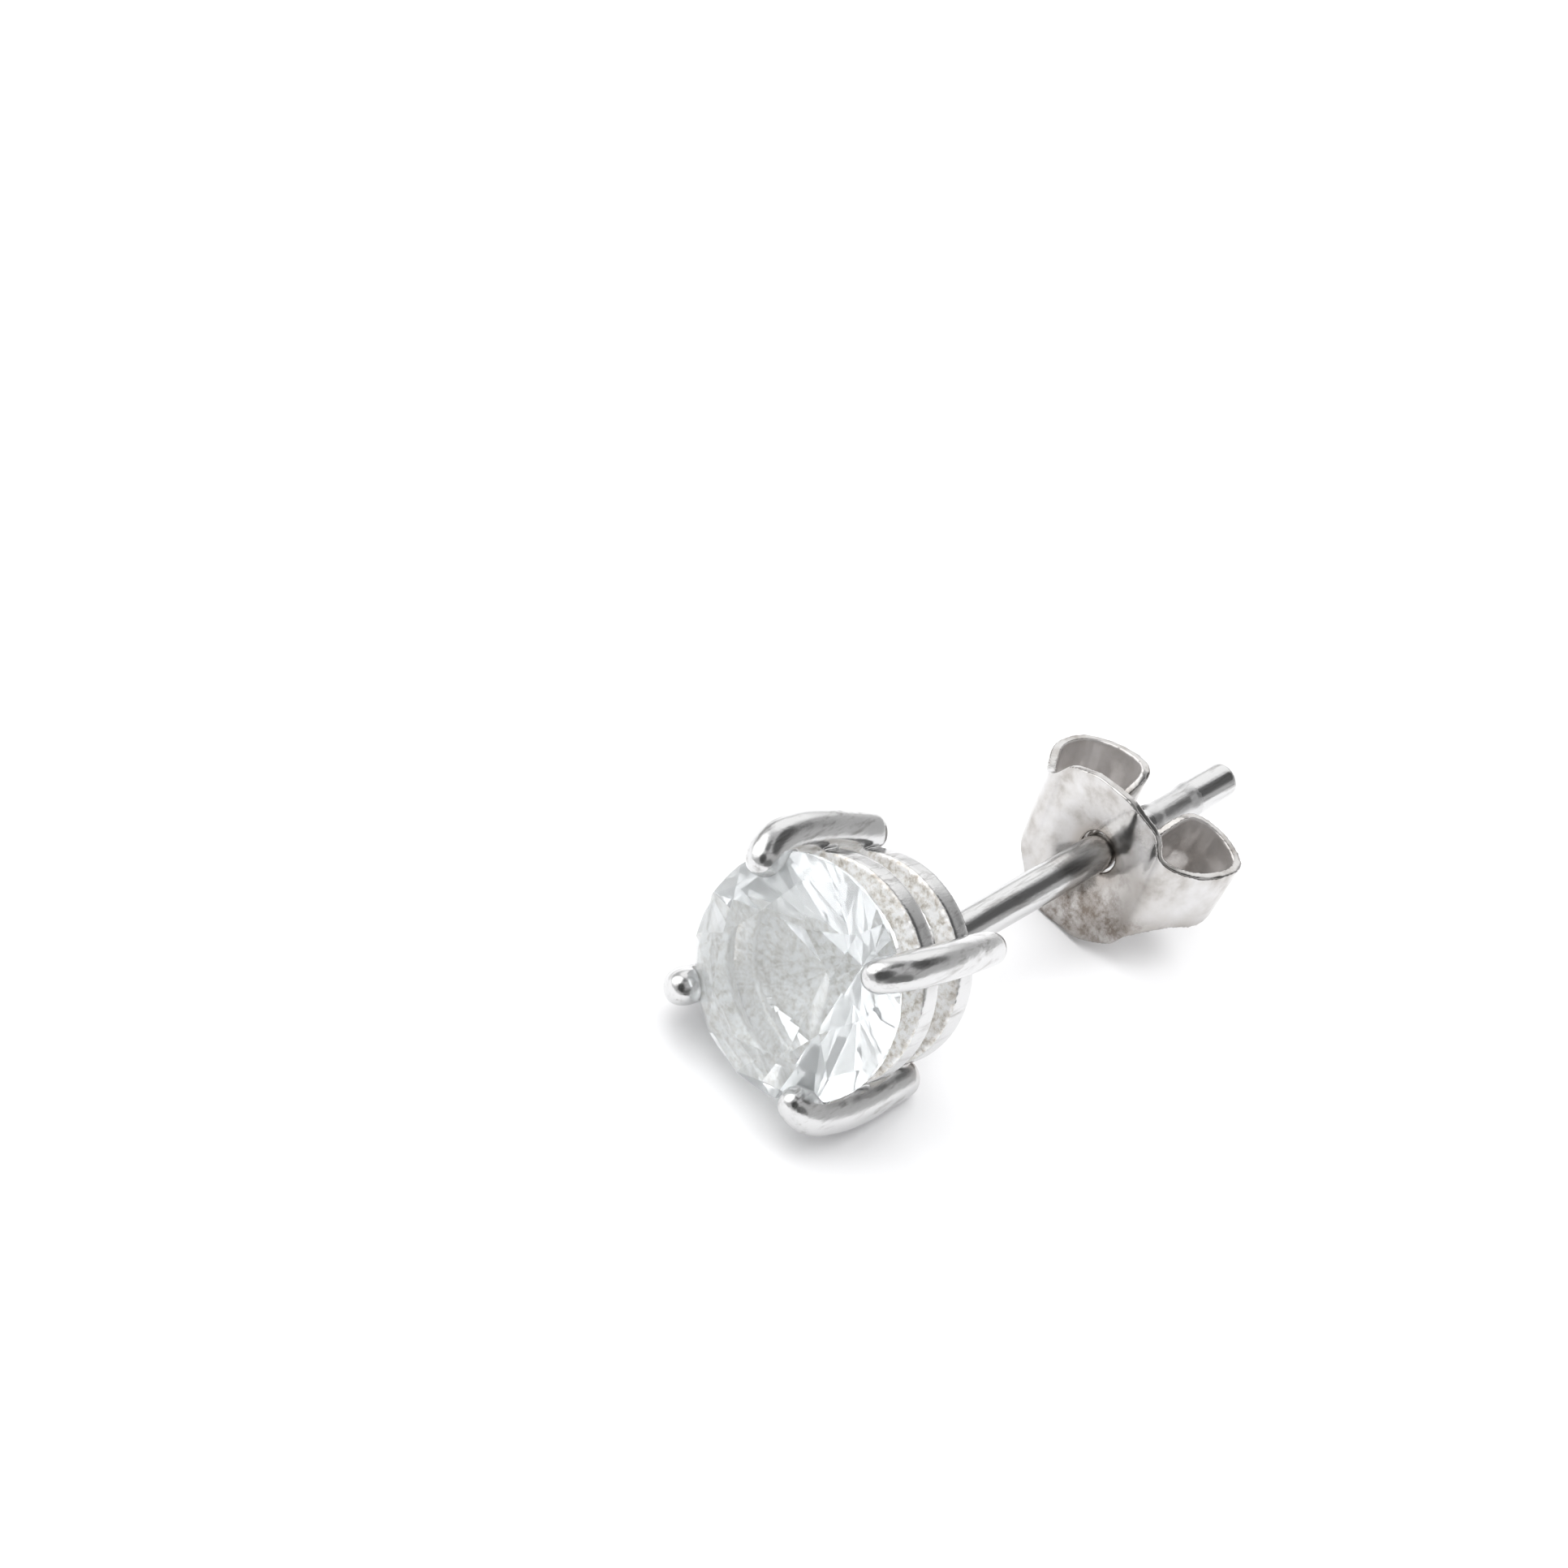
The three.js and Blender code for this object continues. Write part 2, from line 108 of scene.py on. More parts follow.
def joinParts(parts, name):
    verts, faces = [], []
    for part in parts:
        start = len(verts)
        verts += [v.co.copy() for v in part.data.vertices]
        faces += [[start + i for i in p.vertices] for p in part.data.polygons]
        bpy.data.objects.remove(part)
    return newObject(name, verts, faces)


# A profile of (radius, height) turned about Y. It starts and ends on the axis, or loops.
def turnedPart(name, profile, sides):
    verts, faces = [], []
    rows = len(profile)
    for i in range(sides):
        a = math.tau * i / sides
        verts += [(r * math.cos(a), y, r * math.sin(a)) for r, y in profile]
    loops = profile[0][0] > 0
    for i in range(sides):
        here, there = i * rows, (i + 1) % sides * rows
        for j in range(rows if loops else rows - 1):
            k = (j + 1) % rows
            faces.append((here + j, here + k, there + k, there + j))
    return outward(newObject(name, verts, faces))


def boxMesh(x, y, z):
    verts = [(sx * x / 2, sy * y / 2, sz * z / 2) for sx in (-1, 1) for sy in (-1, 1) for sz in (-1, 1)]
    faces = [(0, 1, 3, 2), (4, 6, 7, 5), (0, 4, 5, 1), (2, 3, 7, 6), (0, 2, 6, 4), (1, 5, 7, 3)]
    return verts, faces


def coordsOf(mesh, what="co"):
    values = np.empty(len(mesh.vertices) * 3)
    mesh.vertices.foreach_get(what, values)
    return values.reshape(-1, 3)


def setCoords(mesh, coords):
    mesh.vertices.foreach_set("co", coords.ravel())
    mesh.update()


def moved(coords, matrix):
    m = np.array(matrix)
    return coords @ m[:3, :3].T + m[:3, 3]


def smoothStep(x, low, high):
    t = np.clip((x - low) / (high - low), 0, 1)
    return t * t * (3 - 2 * t)


def paintMask(mesh, name, values):
    layer = mesh.attributes.new(name, "FLOAT", "POINT")
    layer.data.foreach_set("value", np.asarray(values, dtype=np.float32))


def noiseAt(coords, size, seed=0.0):
    shift = Vector((seed, seed * 1.7, -seed))
    return np.array([noise.noise(Vector(c) / size + shift) for c in coords])


def shadeSmooth(mesh):
    mesh.polygons.foreach_set("use_smooth", [True] * len(mesh.polygons))


# A smooth centripetal curve through the points, evenly stepped along its length.
def curveThrough(points, steps, perSpan=24):
    pts = [np.array(p, float) for p in points]
    pts = [2 * pts[0] - pts[1]] + pts + [2 * pts[-1] - pts[-2]]
    out = []
    for p0, p1, p2, p3 in zip(pts, pts[1:], pts[2:], pts[3:]):
        t0 = 0.0
        t1 = t0 + np.linalg.norm(p1 - p0) ** 0.5
        t2 = t1 + np.linalg.norm(p2 - p1) ** 0.5
        t3 = t2 + np.linalg.norm(p3 - p2) ** 0.5
        for t in np.linspace(t1, t2, perSpan, endpoint=False):
            a1 = (t1 - t) / (t1 - t0) * p0 + (t - t0) / (t1 - t0) * p1
            a2 = (t2 - t) / (t2 - t1) * p1 + (t - t1) / (t2 - t1) * p2
            a3 = (t3 - t) / (t3 - t2) * p2 + (t - t2) / (t3 - t2) * p3
            b1 = (t2 - t) / (t2 - t0) * a1 + (t - t0) / (t2 - t0) * a2
            b2 = (t3 - t) / (t3 - t1) * a2 + (t - t1) / (t3 - t1) * a3
            out.append((t2 - t) / (t2 - t1) * b1 + (t - t1) / (t2 - t1) * b2)
    out = np.array(out + [pts[-2]])
    lengths = np.concatenate([[0], np.cumsum(np.linalg.norm(np.diff(out, axis=0), axis=1))])
    even = np.linspace(0, lengths[-1], steps + 1)
    line = np.stack([np.interp(even, lengths, out[:, k]) for k in range(out.shape[1])], axis=1)
    return line, lengths[-1]


def tangentsOf(line):
    tangents = np.gradient(line[:, :2], axis=0)
    return tangents / np.linalg.norm(tangents, axis=1)[:, None]


# Melts overlapping shells into one skin of faces about size across, and relaxes it.
def fuseSkin(obj, size, relaxSteps):
    remesh = obj.modifiers.new("fuse", "REMESH")
    remesh.mode = "VOXEL"
    remesh.voxel_size = size
    relax = obj.modifiers.new("relax", "SMOOTH")
    relax.factor = 0.5
    relax.iterations = relaxSteps
    return applyModifiers(obj)


# Stone: a round brilliant, cut from a round blank by one plane for each facet.
stoneForm = {
    "radius": 2.5, "table": 1.45, "crown": 0.78, "girdle": 0.14, "pavilion": 2.1,
    "mains": 8,
    "starReach": 0.62,          # share of the way from the table's edge to the girdle
    "lowerReach": 0.24,         # share of the way from the culet to the girdle
    "blankSides": 128, "blankSpare": 1.02,
    "onPlane": 1e-5, "weld": 2e-4, "flatAngle": 0.002,
}


def facetPlanes(form):
    radius, half = form["radius"], form["girdle"] / 2
    step = 360 / form["mains"]
    halfCos = math.cos(math.radians(step / 2))
    starR = form["table"] + (radius - form["table"]) * form["starReach"]
    slope = form["crown"] / (radius - form["table"])
    starY = -half - slope * (radius - starR * halfCos)
    lowerR = radius * form["lowerReach"]
    lowerY = half + form["pavilion"] * (1 - lowerR * halfCos / radius)
    tableY = -half - form["crown"]
    culet = Vector((0, half + form["pavilion"], 0))

    def at(r, y, turn):
        a = math.radians(turn)
        return Vector((r * math.cos(a), y, r * math.sin(a)))

    planes = []
    for i in range(form["mains"]):
        turn = i * step
        corner = at(form["table"], tableY, turn)
        star = at(starR, starY, turn + step / 2)
        lower = at(lowerR, lowerY, turn + step / 2)
        planes.append((corner, at(radius, -half, turn), star))
        planes.append((corner, at(form["table"], tableY, turn + step), star))
        planes.append((culet, at(radius, half, turn), lower))
        for first in (turn, turn + step / 2):
            second = first + step / 2
            planes.append((star, at(radius, -half, first), at(radius, -half, second)))
            planes.append((lower, at(radius, half, first), at(radius, half, second)))
    return planes


def makeStone(form):
    half, radius = form["girdle"] / 2, form["radius"]
    top, bottom = -half - form["crown"], half + form["pavilion"] * form["blankSpare"]
    profile = [(0, top), (radius, top), (radius, bottom), (0, bottom)]
    blank = turnedPart("stone_cut", profile, form["blankSides"])
    bm = bmesh.new()
    bm.from_mesh(blank.data)
    inside = Vector((0, half, 0))
    for a, b, c in facetPlanes(form):
        normal = (b - a).cross(c - a).normalized()
        if normal.dot(a - inside) < 0:
            normal.negate()
        cut = bmesh.ops.bisect_plane(bm, geom=bm.verts[:] + bm.edges[:] + bm.faces[:], dist=form["onPlane"],
                                     plane_co=a, plane_no=normal, clear_outer=True)
        edges = [e for e in cut["geom_cut"] if isinstance(e, bmesh.types.BMEdge)]
        bmesh.ops.contextual_create(bm, geom=edges)
    bmesh.ops.remove_doubles(bm, verts=bm.verts, dist=form["weld"])
    bmesh.ops.dissolve_limit(bm, angle_limit=form["flatAngle"], verts=bm.verts, edges=bm.edges)
    bmesh.ops.recalc_face_normals(bm, faces=bm.faces)
    bm.to_mesh(blank.data)
    bm.free()
    blank.data.transform(headPlace @ Matrix.Rotation(math.radians(-headForm["clawTurn"]), 4, "Y"))
    return blank


# Setting: cast claws and rings with a soldered bridge and post, fused in one skin.
settingForm = {
    "clawReach": 2.75, "clawThick": 0.87, "clawWide": 0.77, "clawRise": 0.68, "clawDepth": 3.36,
    "clawSquare": 2.25,         # 2 is a round section, more is squarer
    "clawSteps": 70, "clawSides": 28,
    "ringFronts": (0.95, 2.36), "ringHeight": 0.55, "ringWidth": 0.52,
    "ringOuters": (2.37, 2.2), "ringRound": 0.07, "ringSides": 120,
    "bridgeThick": 0.35, "bridgeWidth": 1.2, "bridgeLength": 3.2,
    "postRadius": 0.4, "postLength": 11.27, "postSides": 56, "postSink": 0.17, "tipRound": 0.17,
    "grooveStart": 8.75, "grooveLength": 1.2, "grooveDepth": 0.045, "grooveRamp": 0.2,
    "solderSpread": 0.24, "solderLength": 0.34, "solderSink": 0.04,
    "skin": 0.04,               # mm, the fused skin's face size
    "relaxSteps": 6,
    "seatGap": 0.03,            # between the metal and the stone
}
clawStations = (                # depth, reach and thickness, as shares
    (-1.0, 0.75, 0.86), (-0.8, 0.86, 0.94), (-0.22, 0.965, 1.0), (0.18, 1.0, 1.02),
    (0.44, 0.985, 1.0), (0.65, 0.95, 0.96), (0.85, 0.91, 0.93), (1.0, 0.87, 0.9),
)


def makeClaw(form, turn):
    rows = []
    for depth, reach, thick in clawStations:
        y = depth * (form["clawRise"] if depth < 0 else form["clawDepth"])
        rows.append((reach * form["clawReach"], y, thick))
    steps, sides, power = form["clawSteps"], form["clawSides"], form["clawSquare"]
    line, length = curveThrough(rows, steps)
    tangents = tangentsOf(line)
    verts, faces = [], []
    for i, (rho, y, thick) in enumerate(line):
        full = form["clawThick"] / 2 * thick
        near = min(i, steps - i) / steps * length
        size = math.sqrt(max(full ** 2 - max(full - near, 0) ** 2, 1e-6))      # both ends are round
        tx, ty = tangents[i]
        for j in range(sides):
            a = math.tau * j / sides
            c, s = math.cos(a), math.sin(a)
            square = (abs(c) ** power + abs(s) ** power) ** (-1 / power)
            across = size * square * c
            side = size * square * s * form["clawWide"] / form["clawThick"]
            verts.append((rho + ty * across, y - tx * across, side))
    for i in range(steps):
        for j in range(sides):
            k = (j + 1) % sides
            faces.append((i * sides + j, i * sides + k, (i + 1) * sides + k, (i + 1) * sides + j))
    faces.append(tuple(range(sides))[::-1])
    faces.append(tuple(steps * sides + j for j in range(sides)))
    claw = outward(newObject("claw", verts, faces))
    claw.data.transform(Matrix.Rotation(math.radians(turn), 4, "Y"))
    return claw


def makeRing(form, front, outer):
    inner, back, r = outer - form["ringWidth"], front + form["ringHeight"], form["ringRound"]
    corners = (
        (outer - r, front + r, -90), (outer - r, back - r, 0),
        (inner + r, back - r, 90), (inner + r, front + r, 180),
    )
    profile = []
    for cx, cy, first in corners:
        for k in range(4):
            a = math.radians(first + k * 30)
            profile.append((cx + r * math.cos(a), cy + r * math.sin(a)))
    return turnedPart("ring", profile, form["ringSides"])


def makePost(form):
    r, tip, length = form["postRadius"], form["tipRound"], form["postLength"]
    start, end = form["grooveStart"], form["grooveStart"] + form["grooveLength"]
    waist, ramp = r - form["grooveDepth"], form["grooveRamp"]
    spread, flow = form["solderSpread"], form["solderLength"]
    profile = [(0, -form["postSink"]), (r, -form["postSink"]), (r + spread, -form["solderSink"])]
    for k in range(1, 7):
        a = math.radians(k * 15)
        profile.append((r + spread * (1 - math.sin(a)), flow * (1 - math.cos(a))))
    profile += [(r, start), (waist, start + ramp), (waist, end - ramp), (r, end)]
    for k in range(7):
        a = math.radians(k * 15)
        profile.append((r - tip * (1 - math.cos(a)), length - tip * (1 - math.sin(a))))
    profile.append((0, length))
    return turnedPart("post", profile, form["postSides"])


# Whatever of the metal is inside the stone's outline moves out to it, with a gap.
def clearSeat(coords, form, gap):
    half, radius = form["girdle"] / 2, form["radius"]
    rho = np.hypot(coords[:, 0], coords[:, 2])
    y = coords[:, 1]
    crownOut = np.array([form["crown"], -(radius - form["table"])])
    crownOut /= np.linalg.norm(crownOut)
    pavilionOut = np.array([form["pavilion"], radius])
    pavilionOut /= np.linalg.norm(pavilionOut)
    depths = np.stack([
        rho - radius,
        -(y + half + form["crown"]),
        (rho - radius) * crownOut[0] + (y + half) * crownOut[1],
        (rho - radius) * pavilionOut[0] + (y - half) * pavilionOut[1],
    ]) - gap
    ways = np.array([[1, 0], [0, -1], crownOut, pavilionOut])[depths.argmax(axis=0)]
    push = np.maximum(-depths.max(axis=0), 0)
    scale = (rho + ways[:, 0] * push) / np.maximum(rho, 1e-6)
    out = coords.copy()
    out[:, 0] *= scale
    out[:, 2] *= scale
    out[:, 1] += ways[:, 1] * push
    return out


# What casting, soldering and wear left on the metal, in mm from the head's and the post's axes.
castForm = {
    "ringMargin": 0.02, "backMargin": 0.05, "postMargin": 0.03,
    "roughFrom": 0.6,           # behind the girdle
    "frontFacing": (0.35, 0.75), "innerFacing": (0.4, 0.8), "innerShare": 0.6,
    "grain": 0.09, "relief": 0.022,
    "fineGrain": 0.45, "fineShare": 0.6,
    "softSize": 0.45, "softWave": 0.006, "postWave": 0.002,
    "wornBefore": 0.2, "wornAfter": 0.1,
    "dirtOut": 0.12, "dirtAlong": 0.1, "dirtSpread": 0.22,
    "stainOut": 2.2, "stainAlong": 3.05, "stainSpread": 0.3,
}


def markCasting(mesh, form, marks):
    coords, normals = coordsOf(mesh), coordsOf(mesh, "normal")
    rho = np.hypot(coords[:, 0], coords[:, 2])
    onPost = moved(coords, headToPost)
    postR, along = np.hypot(onPost[:, 0], onPost[:, 2]), onPost[:, 1]
    isPost = (postR < form["postRadius"] + marks["postMargin"]) & (along > form["solderLength"])
    inRing = (rho < form["ringOuters"][0] + marks["ringMargin"]) & ~isPost
    inRing &= coords[:, 1] < headForm["baseDepth"] + marks["backMargin"]
    facing = smoothStep(-normals[:, 1], *marks["frontFacing"])
    towardAxis = -(normals[:, 0] * coords[:, 0] + normals[:, 2] * coords[:, 2]) / np.maximum(rho, 0.1)
    inner = smoothStep(towardAxis, *marks["innerFacing"]) * marks["innerShare"]
    rough = np.where(inRing & (coords[:, 1] > marks["roughFrom"]), np.maximum(facing, inner), 0)
    grain = noiseAt(coords, marks["grain"])
    grain += marks["fineShare"] * noiseAt(coords, marks["grain"] * marks["fineGrain"], 3.1)
    soft = noiseAt(coords, marks["softSize"], 7.3)
    wave = marks["softWave"] * soft + rough * marks["relief"] * grain
    wave = np.where(isPost, marks["postWave"] * soft, wave)
    setCoords(mesh, coords + normals * wave[:, None])
    wornFrom = form["grooveStart"] - marks["wornBefore"]
    wornTo = form["grooveStart"] + form["grooveLength"] + marks["wornAfter"]
    worn = isPost & (along > wornFrom) & (along < wornTo)
    fromSolder = np.hypot(postR - form["postRadius"] - marks["dirtOut"], along - marks["dirtAlong"])
    low = math.radians(-headForm["clawTurn"] + 360 / headForm["claws"])         # the lower claw's end
    stainSpot = np.array([marks["stainOut"] * math.cos(low), marks["stainAlong"],
                          -marks["stainOut"] * math.sin(low)])
    fromStain = np.linalg.norm(coords - stainSpot, axis=1)
    paintMask(mesh, "roughCast", rough)
    paintMask(mesh, "wornGroove", worn.astype(float))
    paintMask(mesh, "solderDirt", np.exp(-(fromSolder / marks["dirtSpread"]) ** 2))
    paintMask(mesh, "stain", np.exp(-(fromStain / marks["stainSpread"]) ** 2))


def makeSetting(form):
    claws = headForm["claws"]
    parts = [makeClaw(form, -headForm["clawTurn"] + 360 / claws * i) for i in range(claws)]
    parts += [makeRing(form, front, outer) for front, outer in zip(form["ringFronts"], form["ringOuters"])]
    bridge = newObject("bridge", *boxMesh(form["bridgeLength"], form["bridgeThick"], form["bridgeWidth"]))
    bridgeMiddle = headForm["baseDepth"] - form["bridgeThick"] / 2
    bridge.data.transform(Matrix.Translation((0, bridgeMiddle, -headForm["postOffset"])))
    parts.append(outward(bridge))
    post = makePost(form)
    post.data.transform(headToPost.inverted())
    parts.append(post)
    setting = fuseSkin(joinParts(parts, "cast_setting"), form["skin"], form["relaxSteps"])
    mesh = setting.data
    setCoords(mesh, clearSeat(coordsOf(mesh), stoneForm, form["seatGap"]))
    markCasting(mesh, form, castForm)
    shadeSmooth(mesh)
    mesh.transform(headPlace)
    return setting


# Butterfly back: one thin stamped sheet, a dished plate and two scrolls that grip the post.
backForm = {
    "place": 6.85, "lean": -6.5, "swivel": 4.0, "thick": 0.19, "height": 3.72,
    "scrollOut": 1.52, "scrollRadius": 1.29,
    "uneven": 0.055,            # how much larger one scroll is rolled, and smaller the other
    "gripClear": 0.11,
    "dishDepth": 0.38, "dishRadius": 0.85, "cup": 0.17, "plateFade": (0.4, 1.0),
    "cone": 0.1, "coneFrom": 0.8, "coneFull": 0.5, "coneFade": (0.68, 0.86),
    "holeRadius": 0.455, "drill": (-0.3, 0.72), "drillSides": 48,
    "steps": 150, "rows": 44, "skin": 0.034, "relaxSteps": 4,
    "waves": ((0.02, 0.85, 1.3), (0.004, 0.3, 5.1)),            # height, size and seed
    "insideFacing": (0.2, 0.7), "dirtSpread": 0.22, "dirtDepth": 0.8,
    # Spots where the colour goes darker and browner, mostly on the plate's lower part.
    "darkSpots": (                # across, up, half width, half height and how much
        (0.7, -1.3, 1.0, 0.6, 1.0), (-0.1, -0.85, 0.5, 0.45, 1.0), (-0.4, -1.75, 0.8, 0.25, 0.9),
        (0.9, -0.1, 0.6, 0.8, 0.6), (2.0, -0.9, 0.9, 0.35, 0.6),
    ),
}
plateStations = ((0.0, 1.0), (0.3, 0.99), (0.6, 0.89), (0.82, 0.78))       # out and width
scrollStations = (              # turn, radius and width; no radius is where the post is gripped
    (-90, 1.0, 0.555), (-50, 0.58, 0.4), (0, 0.56, 0.41), (50, 0.745, 0.38), (95, 0.745, 0.46),
    (135, 0.82, 0.5), (180, None, 0.3), (205, 0.68, 0.24), (226, 0.55, 0.17),
)


def wingLine(form, side):
    rows = [(out * form["scrollOut"], 0.0, width) for out, width in plateStations]
    rolled = form["scrollRadius"] * (1 - side * form["uneven"])
    grip = form["scrollOut"] - settingForm["postRadius"] - form["gripClear"] - form["thick"] / 2
    for turn, radius, width in scrollStations:
        reach = grip if radius is None else radius * rolled
        a = math.radians(turn)
        rows.append((form["scrollOut"] + reach * math.cos(a), rolled + reach * math.sin(a), width))
    lengths = [0]
    for p, q in zip(rows, rows[1:]):
        lengths.append(lengths[-1] + math.hypot(q[0] - p[0], q[1] - p[1]))
    line = curveThrough(rows, form["steps"])[0]
    return line, tangentsOf(line), lengths[len(plateStations)] / lengths[-1]


# The middle of the sheet, as a grid of points from one scroll's end to the other's.
def sheetGrid(form):
    wings = {side: wingLine(form, side) for side in (-1, 1)}
    across = np.linspace(-1, 1, form["rows"] + 1)
    columns = []
    for i in range(-form["steps"], form["steps"] + 1):
        side = -1 if i < 0 else 1
        line, tangents, plateShare = wings[side]
        k = abs(i)
        share = k / form["steps"]
        x, y, width = line[k]
        tx, ty = tangents[k]
        z = across * width * form["height"] / 2
        plate = 1 - smoothStep(x / form["scrollOut"], *form["plateFade"]) if share < plateShare else 0.0
        dish = plate * form["dishDepth"] * np.exp(-(x ** 2 + z ** 2) / form["dishRadius"] ** 2)
        cup = plate * form["cup"] * (2 * z / form["height"]) ** 2
        flare = form["cone"] * across * smoothStep(share, plateShare * form["coneFrom"], form["coneFull"])
        flare *= 1 - smoothStep(share, *form["coneFade"])
        columns.append(np.stack([side * (x + ty * flare), y - tx * flare + dish - cup, z], axis=1))
    return np.array(columns)


# A closed thin solid round the grid, half its thickness on either side.
def thicken(grid, thick):
    normal = np.cross(np.gradient(grid, axis=0), np.gradient(grid, axis=1))
    normal /= np.linalg.norm(normal, axis=2)[..., None]
    front = grid + normal * thick / 2
    back = grid - normal * thick / 2
    verts = np.concatenate([front.reshape(-1, 3), back.reshape(-1, 3)])
    n, m = grid.shape[:2]

    def f(i, j):
        return i * m + j

    def b(i, j):
        return (n + i) * m + j

    faces = []
    for i in range(n - 1):
        for j in range(m - 1):
            faces.append((f(i, j), f(i + 1, j), f(i + 1, j + 1), f(i, j + 1)))
            faces.append((b(i, j), b(i, j + 1), b(i + 1, j + 1), b(i + 1, j)))
        faces.append((f(i, 0), b(i, 0), b(i + 1, 0), f(i + 1, 0)))
        faces.append((f(i, m - 1), f(i + 1, m - 1), b(i + 1, m - 1), b(i, m - 1)))
    for j in range(m - 1):
        faces.append((f(0, j), f(0, j + 1), b(0, j + 1), b(0, j)))
        faces.append((f(n - 1, j), b(n - 1, j), b(n - 1, j + 1), f(n - 1, j + 1)))
    return verts, faces


def markSheet(mesh, form):
    coords, normals = coordsOf(mesh), coordsOf(mesh, "normal")
    wave = sum(high * noiseAt(coords, size, seed) for high, size, seed in form["waves"])
    setCoords(mesh, coords + normals * wave[:, None])
    x, y, z = coords.T
    outX, outY = np.abs(x) - form["scrollOut"], y - form["scrollRadius"]
    reach = np.maximum(np.hypot(outX, outY), 0.05)
    towardMiddle = -(np.sign(x) * normals[:, 0] * outX + normals[:, 1] * outY) / reach
    fromHole = np.hypot(x, z) - form["holeRadius"]
    # Darker, browner spots, mostly towards the plate's bottom.
    spots = sum(much * np.exp(-((x - spotX) / wide) ** 2 - ((z - spotZ) / high) ** 2)
                for spotX, spotZ, wide, high, much in form["darkSpots"])
    paintMask(mesh, "insideScroll", smoothStep(towardMiddle, *form["insideFacing"]))
    paintMask(mesh, "holeDirt", np.exp(-(fromHole / form["dirtSpread"]) ** 2) * (y < form["dirtDepth"]))
    paintMask(mesh, "darkSpots", np.clip(spots, 0, 1))


def makeBack(form):
    sheet = outward(newObject("butterfly_sheet", *thicken(sheetGrid(form), form["thick"])))
    hole = Vector((0, form["dishDepth"], 0))
    lean = Matrix.Rotation(math.radians(form["swivel"]), 4, "Y")
    lean = lean @ Matrix.Rotation(math.radians(form["lean"]), 4, "X")
    lean = Matrix.Translation(hole) @ lean @ Matrix.Translation(-hole)
    sheet.data.transform(lean)
    low, high = form["drill"]
    profile = [(0, low), (form["holeRadius"], low), (form["holeRadius"], high), (0, high)]
    drill = turnedPart("drill", profile, form["drillSides"])        # true to the post, not to the plate
    cut = sheet.modifiers.new("hole", "BOOLEAN")
    cut.operation = "DIFFERENCE"
    cut.solver = "EXACT"
    cut.object = drill
    applyModifiers(sheet)
    bpy.data.objects.remove(drill)
    fuseSkin(sheet, form["skin"], form["relaxSteps"])
    sheet.data.transform(lean.inverted())
    markSheet(sheet.data, form)
    shadeSmooth(sheet.data)
    sheet.data.transform(postPlace @ Matrix.Translation((0, form["place"], 0)) @ lean)
    return sheet


# Materials
def toLinear(hexColour):
    parts = [int(hexColour[i:i + 2], 16) / 255 for i in (0, 2, 4)]
    return tuple(c / 12.92 if c <= 0.04045 else ((c + 0.055) / 1.055) ** 2.4 for c in parts) + (1.0,)


def addNode(tree, kind, settings=None, links=None):
    node = tree.nodes.new(kind)
    for key, value in (settings or {}).items():
        if isinstance(key, int) or key in node.inputs:
            node.inputs[key].default_value = value
        else:
            setattr(node, key, value)
    for key, source in (links or {}).items():
        tree.links.new(source, node.inputs[key])
    return node


def startMaterial(name):
    material = bpy.data.materials.new(name)
    material.use_nodes = True
    tree = material.node_tree
    tree.nodes.clear()
    return material, tree


def setRamp(node, stops):
    ramp = node.color_ramp
    while len(ramp.elements) > len(stops):
        ramp.elements.remove(ramp.elements[-1])
    while len(ramp.elements) < len(stops):
        ramp.elements.new(1.0)
    for element, (place, colour) in zip(ramp.elements, stops):
        element.position = place
        element.color = toLinear(colour)


castLook = {
    # The dark grey of the streaks on the polished parts is painted reflection, standing in for the dark
    # surroundings that polished silver mirrors; the streaks' bump is the real polishing lines.
    "bright": "D4D4D4", "paintedReflectionGrey": "7F7B78", "stain": "A5744A", "dirt": "5A524B",
    "pits": ((0.34, "C2BAAF"), (0.46, "E8E4DE"), (0.58, "FEFDFC")),
    "grainPerMm": 11.0, "pitsPerMm": 6.0, "streaksPerMm": 6.0,
    "drawn": 0.12,              # the streaks run lengthwise, as the polishing did
    "paintedReflectionFrom": 0.53, "paintedReflectionFull": 0.72, "paintedReflectionMost": 0.6,
    "polishedRoughness": 0.2, "roughRoughness": 0.4, "wornRoughness": 0.14,
    "roughMetal": 0.3,          # the pickling acid leaves the rough parts matt and white
    "bumpDepth": 0.02, "streakBump": 0.25, "grainBump": 0.05, "roughBump": 0.4, "wornBump": 0.3,
}


